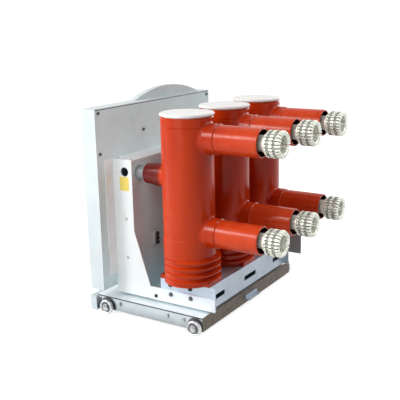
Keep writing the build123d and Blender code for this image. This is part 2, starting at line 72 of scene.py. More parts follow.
carrier_low, carrier_high = node_box("pole_carrier")
cover_low, cover_high = node_box("front_cover")
lid_low, lid_high = node_box("housing_lid")
panel_low, panel_high = node_box("front_panel")
racking_low, racking_high = node_box("racking_screw")
truck_low, truck_high = node_box("truck_bed")
back_high = node_box("panel_back")[1]
button_high = node_box("push_buttons")[1]
floor_rear = node_box("base_floor")[1][1]
plate_foot = node_box("side_plate_right")[0][2]
wall_rear = node_box("housing_rear_wall")[1][1]
pole_y = node_middle("pole_cap_b")[1]
PLATE_SHEET = 3 * MM
plate_face = lid_high[0] + PLATE_SHEET  # outer face of the side plates, which their flange overhangs
phase_pitch = node_middle("pole_cap_a")[0] - node_middle("pole_cap_b")[0]
arm_axes = [(0.0, 0.0, node_middle(f"tulip_{level}_b")[2]) for level in LEVELS]
axles = [node_middle(f"wheel_{row}_right") * (0, 1, 1) for row in ("front", "rear")]

# Surfaces

BOLT_POINTS = 24
SCREW_POINTS = 20
SCREW_ARC = 5
PLATE_ARC = 7  # points on each round corner
RIM_ARC = 6
FILLET_POINTS = 64
FILLET_STEPS = 7
FILLET_SINK = 0.25 * MM  # how far the edges of a fillet lie inside the resin
FILLET_CORE = 3 * MM  # how far inside the resin its profile closes
COIL_POINTS = 10  # points along each turn of a spring
WIRE_POINTS = 6
TANGENT_STEP = 1e-4
THREAD_POINTS = 28
THREAD_STEPS = 8  # points along each turn of a thread
THREAD_SLOPE = 1.5  # a thread's wave is stretched by this, lowered by the next value and cut off flat
THREAD_FLAT = 0.25
THREAD_MOUTH = 0.9  # share of the core's radius at the ends


def grid_faces(rows, columns, closed, copies):
    """Quads between neighbouring points of a grid, for several copies of it: its rows run round and close on
    themselves, and its columns do where closed says so."""
    row = np.arange(rows)
    column = np.arange(columns if closed else columns - 1)
    row, column = np.meshgrid(row, column, indexing="ij")
    next_row = (row + 1) % rows
    next_column = (column + 1) % columns
    corners = [
        row * columns + column,
        next_row * columns + column,
        next_row * columns + next_column,
        row * columns + next_column,
    ]
    quads = np.stack(corners, axis=-1).reshape(-1, 4)
    starts = np.arange(copies) * rows * columns
    return (quads[None] + starts[:, None, None]).reshape(-1, 4)


def add_piece(name, grids, closed, material, crease):
    """A mesh on the chassis from grids of points, each copies x rows x columns x 3, joined by quads.

    Doubled points at poles and seams are merged and the faces turned outwards."""
    points = []
    faces = []
    start = 0
    for grid in grids:
        copies, rows, columns = grid.shape[:3]
        points.append(grid.reshape(-1, 3))
        faces.append(grid_faces(rows, columns, closed, copies) + start)
        start += copies * rows * columns
    points = np.concatenate(points)
    faces = np.concatenate(faces)
    mesh = bpy.data.meshes.new(name)
    mesh.vertices.add(len(points))
    mesh.vertices.foreach_set("co", points.astype(np.float32).ravel())
    mesh.loops.add(faces.size)
    mesh.loops.foreach_set("vertex_index", faces.astype(np.int32).ravel())
    mesh.polygons.add(len(faces))
    mesh.polygons.foreach_set("loop_start", np.arange(len(faces), dtype=np.int32) * 4)
    mesh.update(calc_edges=True)
    shell = bmesh.new()
    shell.from_mesh(mesh)
    bmesh.ops.remove_doubles(shell, verts=shell.verts, dist=WELD)
    bmesh.ops.recalc_face_normals(shell, faces=shell.faces)
    shell.to_mesh(mesh)
    shell.free()
    mesh.polygons.foreach_set("use_smooth", np.ones(len(mesh.polygons), dtype=bool))
    mesh.set_sharp_from_angle(angle=math.radians(crease))
    mesh.materials.append(material)
    piece = bpy.data.objects.new(name, mesh)
    bpy.context.collection.objects.link(piece)
    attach(piece, CHASSIS)


def stand_on(local, places, normal):
    """Local points, with z as height, put at each place so that z points along the normal."""
    normal = np.asarray(normal, float)
    side = np.cross(normal, UPWARD) if normal[2] == 0 else np.array((1.0, 0.0, 0.0))
    side = side / np.linalg.norm(side)
    turned = np.stack([side, np.cross(normal, side), normal])
    places = np.asarray(places, float).reshape(-1, 1, 1, 3)
    return places + (local @ turned)[None]


def set_on(name, shape, places, normal, material, crease=EDGED, closed=False):
    """One piece made of equal shapes, each standing on its place along the normal."""
    add_piece(name, [stand_on(shape, places, normal)], closed, material, crease)


def mirrored(x, spots):
    """Places at the same distance right and left of the middle, for each spot of Y and Z."""
    return [(side * x, y, z) for side in SIDES.values() for y, z in spots]


def full_turn(points):
    """Angles of points spaced evenly round a circle."""
    return np.linspace(0, 2 * math.pi, points, endpoint=False)


def carried_round(radius, height, angle):
    """A profile of radius and height carried round the z axis: rows follow the angle, columns the profile."""
    x = radius * np.cos(angle)
    y = radius * np.sin(angle)
    return np.stack([x, y, np.broadcast_to(height, x.shape)], axis=-1)


def hexagon(angle):
    """Radius of a hexagon over its inner circle: one over the cosine of the angle to the nearest flat."""
    return 1.0 / np.cos((angle % (math.pi / 3)) - math.pi / 6)


def hex_bolt(across_flats, head, washer_radius, washer):
    """Washer and hexagon head: a profile of radius and height carried round.

    The third column of the profile is one where the radius is that of the hexagon."""
    flat = across_flats / 2
    top = washer + head
    profile = np.array([
        (0.0, 0.0, 0.0),
        (washer_radius, 0.0, 0.0),
        (washer_radius, 0.8 * washer, 0.0),
        (0.96 * washer_radius, washer, 0.0),
        (flat, washer, 1.0),
        (flat, washer + 0.82 * head, 1.0),
        (0.94 * flat, top, 0.0),
        (0.5 * flat, top, 0.0),
        (0.0, top, 0.0),
    ])
    radius, height, hexed = profile.T
    angle = full_turn(BOLT_POINTS)[:, None]
    return carried_round(radius * (1 + hexed * (hexagon(angle) - 1)), height, angle)


def pan_screw(radius, head):
    """Round-headed screw: a quarter of an ellipse that ends in a dimple, carried round."""
    rise = np.linspace(0, math.pi / 2, SCREW_ARC, endpoint=False)
    profile_radius = np.concatenate([[0.0], radius * np.cos(0.92 * rise), [0.3 * radius, 0.2 * radius, 0.0]])
    profile_height = np.concatenate([[0.0], head * np.sin(rise), [0.97 * head, 0.6 * head, 0.55 * head]])
    return carried_round(profile_radius, profile_height, full_turn(SCREW_POINTS)[:, None])


def rounded_layers(width, height, corner, arc, layers):
    """Outline of an oblong with round corners, four arcs of the given number of points, once for each layer.

    A layer's inset shortens the radius of the arcs, and its rise is its height."""
    turn = np.arange(4)[:, None] * math.pi / 2 + np.linspace(0, math.pi / 2, arc)
    turn = turn.reshape(-1, 1)
    middle_x = np.repeat((1, -1, -1, 1), arc)[:, None] * (width / 2 - corner)
    middle_y = np.repeat((1, 1, -1, -1), arc)[:, None] * (height / 2 - corner)
    inset, rise = np.array(layers).T
    x = middle_x + (corner - inset) * np.cos(turn)
    y = middle_y + (corner - inset) * np.sin(turn)
    return np.stack([x, y, np.broadcast_to(rise, x.shape)], axis=-1)


def rounded_plate(width, height, corner, thick, bevel):
    """Plate with round corners: its outline is carried up the edge and in over the bevel.

    Both faces run to their middle by way of the same outline at half size."""
    layers = ((0, 0), (0, thick - bevel), (bevel, thick))
    edge = rounded_layers(width, height, corner, PLATE_ARC, layers)
    foot = edge[:, :1]
    top = edge[:, -1:]
    half = (0.5, 0.5, 1)
    centre = (0, 0, 1)
    return np.concatenate([foot * centre, foot * half, edge, top * half, top * centre], axis=1)


def frame_rim(width, height, corner, band, thick):
    """Raised rim round an opening: a round-cornered outline is carried up at the outer edge of the band and
    back down at its inner edge, so that its section is a closed oblong with one edge broken."""
    layers = ((0, 0), (0, 0.7 * thick), (0.2 * band, thick), (band, thick), (band, 0))
    return rounded_layers(width, height, corner, RIM_ARC, layers)


def root_fillet(place, boss_radius, column_radius, fillet, taper, way):
    """Fillet where a round boss along Y leaves a round column along Z: at each angle a parabola runs from the
    column over to the boss, and the profile is closed inside the resin and carried round."""
    angle = full_turn(FILLET_POINTS)[:, None]
    part = np.linspace(0, 1, FILLET_STEPS)[None, :, None]

    def on_column(radius, sink):
        """Circle round the boss, laid on the column: Y squared and X squared add up to its radius squared."""
        x = radius * np.cos(angle)
        y = np.sqrt((column_radius - sink) ** 2 - x ** 2)
        return np.stack([x, y, radius * np.sin(angle)], axis=-1)

    foot = on_column(boss_radius + fillet, FILLET_SINK)
    corner = on_column(boss_radius, 0.0)
    crown = on_column(boss_radius - FILLET_SINK - taper, 0.0) + (0, fillet, 0)
    inside = on_column(boss_radius - FILLET_CORE, FILLET_CORE)
    curve = (1 - part) ** 2 * foot + 2 * part * (1 - part) * corner + part ** 2 * crown
    ring = np.concatenate([curve, inside], axis=1) * (1, way, 1)
    return (np.asarray(place) + ring)[None]


def garter_spring(centre, ring_radius, coil_radius, wire_radius, turns):
    """Coil spring closed to a ring round Y: a wire follows a small circle that winds round a large one."""
    t = full_turn(turns * COIL_POINTS)

    def path(t):
        """The wire's middle: the large circle's radius grows and shrinks as the small circle turns."""
        reach = ring_radius + coil_radius * np.cos(turns * t)
        return np.stack([reach * np.cos(t), coil_radius * np.sin(turns * t), reach * np.sin(t)], axis=-1)

    tangent = path(t + TANGENT_STEP) - path(t - TANGENT_STEP)
    tangent /= np.linalg.norm(tangent, axis=1, keepdims=True)
    core = np.stack([ring_radius * np.cos(t), 0 * t, ring_radius * np.sin(t)], axis=-1)
    outward = (path(t) - core) / coil_radius
    across = np.cross(tangent, outward)
    turn = full_turn(WIRE_POINTS)[None, :, None]
    wire = path(t)[:, None] + wire_radius * (np.cos(turn) * outward[:, None] + np.sin(turn) * across[:, None])
    return (wire + np.asarray(centre))[None]


def screw_thread(start, end, x, z, core, ridge, pitch):
    """Threaded bar along Y: the radius rises and falls as a triangle wave of angle and length.

    The wave is cut off flat at root and crest, and the ends close in a little."""
    length = np.linspace(start, end, int((end - start) / pitch * THREAD_STEPS))
    angle = full_turn(THREAD_POINTS)[:, None]
    phase = (length[None] / pitch - angle / (2 * math.pi)) % 1.0
    wave = 1 - np.abs(2 * phase - 1)
    radius = core + ridge * np.clip(THREAD_SLOPE * wave - THREAD_FLAT, 0, 1)
    radius[:, [0, -1]] = THREAD_MOUTH * core
    along = np.broadcast_to(length, radius.shape)
    return np.stack([x + radius * np.cos(angle), along, z + radius * np.sin(angle)], axis=-1)[None]


# Finishes

STUB_DARK = -56 * MM  # places along Y between which the resin turns to the painted shade of the stub
STUB_LIGHT = -42 * MM
BORE_DARK = 37.3 * MM  # distances from the axis of an arm within which the bore's resin is painted dark, as shade
BORE_LIGHT = 38.2 * MM
LOW_DARK_FULL = 10 * MM  # heights between which the darker tone low on the truck fades out
LOW_DARK_END = 40 * MM
LOW_DARK_MOST = 0.8
WHEEL_SHADE_FULL = 27 * MM  # distances from an axle between which the painted shade behind a wheel fades out
WHEEL_SHADE_END = 32 * MM
WHEEL_SHADE_MOST = 0.9
BED_EDGE = (0.4 * MM, 0.1 * MM)  # below the top of the truck, where the painted lighter top of its bed starts
FOLD_EDGE = (3.6 * MM, 3.2 * MM)  # below the top of the truck, where the painted shadow line starts
SKIRT_EDGE = (0.7 * MM, 0.4 * MM)  # inside the face of the skirts
DARK_RING_INNER = (10.6 * MM, 11.4 * MM)  # radii of the darker ring on a wheel
DARK_RING_OUTER = (16.0 * MM, 17.5 * MM)
BUTTON_SPLIT = 1 * MM
BUTTON_WEAR = (150, 150, 148)
PLASTIC_BRIGHTER = 0.06  # how far the gloss of plastic wanders either way
PLASTIC_DULLER = 0.08
NOISE_LOW = 0.3  # range of the noise that a wandering gloss takes up
NOISE_HIGH = 0.7


def srgb(red, green, blue):
    """A colour written as it appears on screen, 0 to 255, turned to linear light."""
    seen = np.array([red, green, blue]) / 255.0
    linear = np.where(seen <= 0.04045, seen / 12.92, ((seen + 0.055) / 1.055) ** 2.4)
    return (*linear.tolist(), 1.0)


def add_node(tree, kind, operation=None):
    """A new shader node of the named kind, with its operation where it has one."""
    node = tree.nodes.new("ShaderNode" + kind)
    if operation is not None:
        node.operation = operation
    return node


def add_range(tree, value, low, high, to_low, to_high):
    """A value carried from one range to another, held at its ends."""
    node = add_node(tree, "MapRange")
    for name, number in (("From Min", low), ("From Max", high), ("To Min", to_low), ("To Max", to_high)):
        node.inputs[name].default_value = number
    tree.links.new(value, node.inputs["Value"])
    return node.outputs["Result"]


class Finish:
    """A node material on Object coordinates, built up by small steps.

    A colour is three numbers as they appear on screen, or the output of an earlier step."""

    def __init__(self, name):
        self.material = bpy.data.materials.new(name)
        self.material.use_nodes = True
        self.tree = self.material.node_tree
        self.shader = self.tree.nodes["Principled BSDF"]
        self.place = self.node("TexCoord").outputs["Object"]

    def node(self, kind, operation=None):
        """A new node of this material."""
        return add_node(self.tree, kind, operation)

    def link(self, source, target):
        """A link from an output to an input."""
        self.tree.links.new(source, target)

    def noise(self, scale, detail, stretch=None):
        """Cloudy pattern of the given number of features a metre, drawn out along an axis by a mapping."""
        texture = self.node("TexNoise")
        texture.inputs["Scale"].default_value = scale
        texture.inputs["Detail"].default_value = detail
        place = self.place
        if stretch is not None:
            mapping = self.node("Mapping")
            mapping.inputs["Scale"].default_value = stretch
            self.link(place, mapping.inputs["Vector"])
            place = mapping.outputs["Vector"]
        self.link(place, texture.inputs["Vector"])
        return texture.outputs["Fac"]

    def spread(self, value, low, high, to_low=0.0, to_high=1.0):
        """A value that grows from one number to another between two levels."""
        return add_range(self.tree, value, low, high, to_low, to_high)

    def fall(self, value, full, end, most=1.0):
        """A value that falls from the most to nought between two levels."""
        return self.spread(value, full, end, most, 0.0)

    def clouds(self, scale, detail, low, high, most=1.0, stretch=None):
        """Patches that grow from nought to the most between two levels of the noise."""
        return self.spread(self.noise(scale, detail, stretch), low, high, 0.0, most)

    def along(self, axis):
        """Place along one axis of the object's frame, in metres."""
        split = self.node("SeparateXYZ")
        self.link(self.place, split.inputs["Vector"])
        return split.outputs[axis]

    def blend(self, amount, first, second):
        """Mix of two colours, by an amount from nought for the first to one for the second."""
        node = self.node("Mix")
        node.data_type = "RGBA"
        self.link(amount, node.inputs["Factor"])
        for socket, colour in (("A", first), ("B", second)):
            target = [s for s in node.inputs if s.name == socket and s.type == "RGBA"][0]
            if isinstance(colour, tuple):
                target.default_value = srgb(*colour)
            else:
                self.link(colour, target)
        return [s for s in node.outputs if s.type == "RGBA"][0]

    def combine(self, operation, first, second=None):
        """One or two outputs put through a sum of the named kind."""
        node = self.node("Math", operation)
        for socket, output in zip(node.inputs, (first, second)):
            if output is not None:
                self.link(output, socket)
        return node.outputs[0]

    def nearer(self, spot, places):
        """Distance of a spot from the nearer of two places."""
        gaps = []
        for place in places:
            gap = self.node("VectorMath", "DISTANCE")
            gap.inputs[1].default_value = place
            self.link(spot, gap.inputs[0])
            gaps.append(gap.outputs["Value"])
        return self.combine("MINIMUM", *gaps)

    def from_axles(self):
        """Distance from the nearer of the two lines along X on which the wheels turn."""
        flat = self.node("VectorMath", "MULTIPLY")
        flat.inputs[1].default_value = (0.0, 1.0, 1.0)
        self.link(self.place, flat.inputs[0])
        return self.nearer(flat.outputs["Vector"], axles)

    def from_arms(self):
        """Distance from the nearest axis of an arm: phases repeat along X, and arms lie at two heights."""
        wrap = self.node("Math", "WRAP")
        wrap.inputs[1].default_value = phase_pitch / 2
        wrap.inputs[2].default_value = -phase_pitch / 2
        self.link(self.along("X"), wrap.inputs[0])
        spot = self.node("CombineXYZ")
        self.link(wrap.outputs[0], spot.inputs["X"])
        self.link(self.along("Z"), spot.inputs["Z"])
        return self.nearer(spot.outputs["Vector"], arm_axes)

    def banded(self, output, band):
        """A colour that turns to the band's own beyond a place.

        The band is its axis, where it starts, where it is full and its colour."""
        if band is None:
            return output
        axis, start, full, colour = band
        return self.blend(self.spread(self.along(axis), start, full), output, colour)

    def colour(self, output):
        """The colour that the surface shows."""
        self.link(output, self.shader.inputs["Base Color"])

    def gloss(self, scale, detail, rough, stretch=None):
        """Roughness that wanders with the noise between two values."""
        wander = self.spread(self.noise(scale, detail, stretch), NOISE_LOW, NOISE_HIGH, *rough)
        self.link(wander, self.shader.inputs["Roughness"])

    def grain(self, scale, detail, strength, depth, stretch=None):
        """Fine bumps of the given depth that follow the noise."""
        node = self.node("Bump")
        node.inputs["Strength"].default_value = strength
        node.inputs["Distance"].default_value = depth
        self.link(self.noise(scale, detail, stretch), node.inputs["Height"])
        self.link(node.outputs["Normal"], self.shader.inputs["Normal"])

    def set(self, **values):
        """Constants on the shader's own sockets."""
        for name, number in values.items():
            self.shader.inputs[name.replace("_", " ")].default_value = number


def powder_coat(name, pale, shade, darker_tone, band=None):
    """Powder coat: cloudy tint, fine orange-peel bump, thin soiling in patches, and a band where given."""
    f = Finish(name)
    tint = f.blend(f.clouds(scale=9.0, detail=3.0, low=0.35, high=0.65), pale, shade)
    darkened = f.blend(f.clouds(scale=26.0, detail=6.0, low=0.58, high=0.82, most=0.35), tint, darker_tone)
    f.colour(f.banded(darkened, band))
    f.gloss(scale=60.0, detail=5.0, rough=(0.34, 0.5))
    f.grain(scale=900.0, detail=2.0, strength=0.12, depth=0.6 * MM)
    f.set(Specular_IOR_Level=0.45)
    return f.material


def cast_epoxy(name, body, deep, chalk, stub=None, bore=None):
    """Cast resin: slow drifts of colour along the height, a chalky bloom and a wavy gloss.

    Where their colours are given, the stub towards the housing takes painted shade and the bores of the arms
    the painted dark shade inside them."""
    f = Finish(name)
    drift = f.clouds(scale=16.0, detail=2.0, low=0.35, high=0.68, stretch=(1.0, 1.0, 0.1))
    bloom = f.clouds(scale=40.0, detail=6.0, low=0.56, high=0.85, most=0.3)
    seen = f.blend(bloom, f.blend(drift, body, deep), chalk)
    if stub is not None:
        # Painted shade: the stub towards the housing turns darker along Y
        seen = f.blend(f.fall(f.along("Y"), STUB_DARK, STUB_LIGHT), seen, stub)
    if bore is not None:
        # Painted shade: the resin inside the bores of the arms turns near black
        seen = f.blend(f.fall(f.from_arms(), BORE_DARK, BORE_LIGHT), seen, bore)
    f.colour(seen)
    f.gloss(scale=24.0, detail=5.0, rough=(0.18, 0.3), stretch=(1.0, 1.0, 0.4))
    f.grain(scale=70.0, detail=3.0, strength=0.08, depth=2 * MM)
    f.set(Specular_IOR_Level=0.2)
    return f.material


def sheet_colour(f, pale, cool, dull, scuffs):
    """Colour of plated sheet: cloudy passivation with duller scuffs over it."""
    cloud = f.blend(f.clouds(scale=14.0, detail=5.0, low=0.35, high=0.7), pale, cool)
    return f.blend(f.clouds(scale=55.0, detail=8.0, low=0.58, high=0.8, most=scuffs), cloud, dull)


def sheet_gloss(f, rough, streaks):
    """Gloss of plated sheet: brushed streaks along the rolling direction, on a partly metallic layer."""
    f.gloss(scale=40.0, detail=6.0, rough=rough, stretch=streaks)
    f.grain(scale=160.0, detail=4.0, strength=0.08, depth=0.8 * MM, stretch=streaks)
    f.set(Metallic=0.35)


def plated_sheet(name, tones, rough, streaks, scuffs=0.6):
    """Plated sheet in three tones, pale, cool and dull, with brushed streaks."""
    f = Finish(name)
    f.colour(sheet_colour(f, *tones, scuffs))
    sheet_gloss(f, rough, streaks)
    return f.material


def truck_sheet(name, tones, rough, streaks, darker_tone, black, bed, scuffs=0.6):
    """Plated sheet of the truck: darker low on the skirts in patches, painted shade round the wheels and a
    painted lighter top on the bed.

    A painted shadow line runs along the upper fold of the skirts."""
    f = Finish(name)
    side = truck_high[0]
    top = truck_high[2]
    low = f.fall(f.along("Z"), LOW_DARK_FULL, LOW_DARK_END, LOW_DARK_MOST)
    patchy = f.spread(f.noise(scale=30.0, detail=6.0), low=0.3, high=0.6, to_low=0.5, to_high=1.0)
    darkened = f.blend(f.combine("MULTIPLY", low, patchy), sheet_colour(f, *tones, scuffs), darker_tone)
    # Painted shade: the sheet turns near black round each axle, behind the wheels
    wheel_shaded = f.blend(f.fall(f.from_axles(), WHEEL_SHADE_FULL, WHEEL_SHADE_END, WHEEL_SHADE_MOST), darkened, black)
    # Painted light: the top face of the truck's bed is paler, as lit from above
    topped = f.banded(wheel_shaded, ("Z", top - BED_EDGE[0], top - BED_EDGE[1], bed))
    # Painted shadow: a dark line along the upper fold of the skirts, for the shadow gap under the side plates
    across = f.combine("ABSOLUTE", f.along("X"))
    outside = f.spread(across, side - SKIRT_EDGE[0], side - SKIRT_EDGE[1])
    fold = f.spread(f.along("Z"), top - FOLD_EDGE[0], top - FOLD_EDGE[1])
    f.colour(f.blend(f.combine("MULTIPLY", outside, fold), topped, black))
    sheet_gloss(f, rough, streaks)
    return f.material


def metal_colour(f, pale, tarnish):
    """Colour of bare metal: tarnish in clouds."""
    return f.blend(f.clouds(scale=120.0, detail=6.0, low=0.42, high=0.72), pale, tarnish)


def metal_gloss(f, rough, marks, metal):
    """Gloss of bare metal: fine tool marks along one direction; a matt layer is less metallic."""
    f.gloss(scale=300.0, detail=4.0, rough=rough, stretch=marks)
    f.grain(scale=700.0, detail=3.0, strength=0.1, depth=0.5 * MM, stretch=marks)
    f.set(Metallic=metal)


def bare_metal(name, pale, tarnish, rough, marks, metal=1.0):
    """Bare or silvered metal with tarnish and tool marks."""
    f = Finish(name)
    f.colour(metal_colour(f, pale, tarnish))
    metal_gloss(f, rough, marks, metal)
    return f.material


def turned_wheel(name, pale, tarnish, rough, marks, black, metal=1.0):
    """Turned steel wheel: tool marks and tarnish, with a darker ring in the dish between hub and rim."""
    f = Finish(name)
    reach = f.from_axles()
    ring = f.combine("MULTIPLY", f.spread(reach, *DARK_RING_INNER), f.fall(reach, *DARK_RING_OUTER))
    f.colour(f.blend(ring, metal_colour(f, pale, tarnish), black))
    metal_gloss(f, rough, marks, metal)
    return f.material


def plastic_gloss(f, rough):
    """Gloss of moulded plastic: fine spark texture and duller patches."""
    f.gloss(scale=50.0, detail=4.0, rough=(rough - PLASTIC_BRIGHTER, rough + PLASTIC_DULLER))
    f.grain(scale=1200.0, detail=2.0, strength=0.1, depth=0.4 * MM)


def moulded_plastic(name, body, worn, rough):
    """Moulded plastic: even colour with faint clouding."""
    f = Finish(name)
    f.colour(f.blend(f.clouds(scale=18.0, detail=5.0, low=0.4, high=0.75), body, worn))
    plastic_gloss(f, rough)
    return f.material


def button_pair(name, first, second, rough):
    """Two moulded buttons in one piece: one colour on each side of the middle, faintly clouded by wear."""
    f = Finish(name)
    body = f.blend(f.spread(f.along("X"), -BUTTON_SPLIT, BUTTON_SPLIT), first, second)
    f.colour(f.blend(f.clouds(scale=90.0, detail=5.0, low=0.45, high=0.8, most=0.3), body, BUTTON_WEAR))
    plastic_gloss(f, rough)
    return f.material


RAIL_STEP = 5 * MM
BACK_SHADOW = 2.6 * MM
FLOOR_SHADOW = 16 * MM
FULL_SHARE = 0.8  # share of a painted shadow line in which its colour is full
rail_tint = ("Y", carrier_low[1] - RAIL_STEP, carrier_low[1] + RAIL_STEP, (233, 241, 248))
# Painted shadow: a dark band along the rear edge of the base floor, in the gap above the rear beam
floor_shadow_line = ("Y", floor_rear - FLOOR_SHADOW, floor_rear - FULL_SHARE * FLOOR_SHADOW, (44, 46, 46))
# Painted shadow: a dark line along the top of the panel's back plate, under the overhang of the flange
back_shadow_line = ("Z", back_high[2] - BACK_SHADOW, back_high[2] - FULL_SHARE * BACK_SHADOW, (92, 98, 100))

# Cool tones of the housing's rear wall and the base floor; their low red is painted to cancel the red light
# that the poles throw back on the wall
WALL_TONES = ((218, 246, 248), (209, 238, 241), (184, 202, 204))
CARRIER_TONES = ((198, 213, 226), (182, 199, 216), (166, 173, 178))
TRUCK_TONES = ((196, 207, 212), (182, 194, 200), (152, 157, 158))
# The rear beam is plated steel; its dark brown-grey tones are painted shade
BEAM_TONES = ((112, 105, 93), (96, 88, 76), (60, 53, 44))
TRUCK_ROUGH = (0.34, 0.5)

# How much finer the streaks of a sheet and the tool marks of a metal are along X, Y and Z
CARRIER_STREAKS = (1.0, 14.0, 1.0)
TRUCK_STREAKS = (14.0, 1.0, 14.0)
BEAM_STREAKS = (14.0, 1.0, 1.0)
CONTACT_MARKS = (1.0, 0.2, 1.0)
WHEEL_MARKS = (1.0, 6.0, 6.0)
SCREW_MARKS = (6.0, 1.0, 6.0)
EVEN_MARKS = (3.0, 3.0, 3.0)

white_coat = powder_coat("white_coat", (246, 251, 251), (238, 245, 246), (216, 221, 220), rail_tint)
# The front panel's coat is a greyer copy of the white coat: painted shade that keeps its lit flange below
# white
panel_coat = powder_coat("panel_coat", (209, 218, 220), (201, 211, 214), (184, 192, 193))
# The back plate's band is a painted shadow line under the flange
grey_coat = powder_coat("grey_coat", (224, 246, 248), (215, 238, 241), (190, 204, 205), back_shadow_line)
wall_coat = powder_coat("wall_coat", *WALL_TONES)
dark_coat = powder_coat("dark_coat", (150, 152, 152), (136, 138, 139), (104, 105, 105))
# The base floor's band is painted shadow along its rear edge
floor_coat = powder_coat("floor_coat", *WALL_TONES, floor_shadow_line)
# The stub colour of the pole resin is painted shade
pole_resin = cast_epoxy("pole_resin", (198, 57, 9), (172, 42, 6), (208, 82, 33), stub=(104, 22, 11))
# The bore colour of the sleeve resin is painted shade
sleeve_resin = cast_epoxy("sleeve_resin", (208, 68, 25), (192, 54, 17), (218, 95, 54), bore=(34, 12, 9))
cap_white = moulded_plastic("cap_white", (243, 242, 240), (232, 229, 225), rough=0.4)
zinc_sheet = plated_sheet("zinc_sheet", CARRIER_TONES, (0.3, 0.45), CARRIER_STREAKS)
truck_zinc = plated_sheet("truck_zinc", TRUCK_TONES, TRUCK_ROUGH, TRUCK_STREAKS)
beam_sheet = plated_sheet("beam_sheet", BEAM_TONES, (0.45, 0.62), BEAM_STREAKS, scuffs=0.9)
silver = bare_metal("silver", (228, 230, 222), (194, 194, 182), (0.58, 0.72), CONTACT_MARKS)
neck_silver = bare_metal("neck_silver", (242, 236, 226), (224, 214, 198), (0.4, 0.55), CONTACT_MARKS,
                         metal=0.3)
# The truck's bed colour is painted light on its top face; its black is painted shade round the wheels and
# along the upper fold
skirt_zinc = truck_sheet("skirt_zinc", TRUCK_TONES, TRUCK_ROUGH, TRUCK_STREAKS,
                         darker_tone=(124, 126, 124), black=(44, 46, 46), bed=(238, 246, 249))
wheel_steel = turned_wheel("wheel_steel", (206, 208, 210), (150, 150, 150), (0.3, 0.45), WHEEL_MARKS,
                           black=(96, 98, 98))
screw_steel = bare_metal("screw_steel", (196, 198, 200), (140, 140, 138), (0.3, 0.45), SCREW_MARKS)
bolt_zinc = bare_metal("bolt_zinc", (186, 190, 192), (120, 120, 116), (0.3, 0.5), EVEN_MARKS)
bolt_dull = bare_metal("bolt_dull", (104, 106, 108), (72, 72, 72), (0.4, 0.55), EVEN_MARKS)
bolt_black = bare_metal("bolt_black", (52, 53, 55), (32, 32, 33), (0.4, 0.55), EVEN_MARKS)
spring_steel = bare_metal("spring_steel", (150, 150, 146), (86, 84, 78), (0.25, 0.4), EVEN_MARKS)
cover_grey = moulded_plastic("cover_grey", (188, 193, 195), (176, 181, 184), rough=0.48)
window_dark = moulded_plastic("window_dark", (26, 28, 30), (36, 38, 40), rough=0.14)
button_colours = button_pair("button_colours", (172, 34, 26), (34, 122, 62), rough=0.34)
collar_dark = moulded_plastic("collar_dark", (58, 60, 62), (70, 72, 74), rough=0.4)
# The struts' dark grey coat is painted shade, so that they read as the shaded wall behind them
strut_coat = powder_coat("strut_coat", (136, 142, 144), (126, 132, 135), (108, 112, 112))
# The crest's coat is a greyer copy of the white coat: painted shade on its rear face
crest_coat = powder_coat("crest_coat", (208, 216, 216), (198, 206, 207), (178, 184, 184))
label_yellow = moulded_plastic("label_yellow", (244, 222, 108), (236, 210, 92), rough=0.4)

FINISH_OF_NODE = {
    "front_panel": panel_coat,
    "panel_back": grey_coat,
    "panel_crest": crest_coat,
    "front_cover": cover_grey,
    "indicator_windows": window_dark,
    "push_buttons": button_colours,
    "housing_rear_wall": wall_coat,
    "housing_lid": white_coat,
    "side_plate_right": white_coat,
    "side_plate_left": white_coat,
    "base_floor": floor_coat,
    "pole_carrier": zinc_sheet,
    "pole_struts": strut_coat,
    "side_bracket": dark_coat,
    "truck_bed": skirt_zinc,
    "truck_rear_beam": beam_sheet,
    "crossbeam": truck_zinc,
    "wheel_axles": bolt_zinc,
}
FINISH_OF_FAMILY = {
    "pole_cap_": cap_white,
    "pole_": pole_resin,
    "sleeve_": sleeve_resin,
    "conductor_": neck_silver,
    "tulip_": silver,
    "wheel_": wheel_steel,
}


def finish_for(node):
    """The finish of a CAD node: by its own name, else by the start of its name, else plated sheet."""
    if node in FINISH_OF_NODE:
        return FINISH_OF_NODE[node]
    return next((finish for start, finish in FINISH_OF_FAMILY.items() if node.startswith(start)), zinc_sheet)


for node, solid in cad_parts.items():
    for material_slot in solid.material_slots:
        material_slot.material = finish_for(node)

# Contact springs: two garter springs in each groove of every tulip contact

SPRING_RING = 36.2 * MM
SPRING_WIRE = 0.45 * MM
COIL_RADIUS = 1.9 * MM - SPRING_WIRE  # to the middle of the wire
SPRING_TURNS = 52
GROOVES = (13.5 * MM, 32.5 * MM)  # groove middles from the root of the contact
SPRING_OFFSET = 2.1 * MM
spring_rows = [groove + way * SPRING_OFFSET for groove in GROOVES for way in (-1, 1)]

for level in LEVELS:
    for phase in PHASES:
        contact = f"tulip_{level}_{phase}"
        root = node_box(contact)[0][1]
        axis_x, _, axis_z = node_middle(contact)
        seats = [(axis_x, root + row, axis_z) for row in spring_rows]
        springs = [garter_spring(seat, SPRING_RING, COIL_RADIUS, SPRING_WIRE, SPRING_TURNS) for seat in seats]
        add_piece(f"contact_springs_{level}_{phase}", springs, True, spring_steel, ROUNDED)

# Bolts and screws

large_bolt = hex_bolt(across_flats=10 * MM, head=4 * MM, washer_radius=7 * MM, washer=1.4 * MM)
small_bolt = hex_bolt(across_flats=8 * MM, head=3.5 * MM, washer_radius=5 * MM, washer=1.0 * MM)
round_screw = pan_screw(radius=4.6 * MM, head=3.2 * MM)

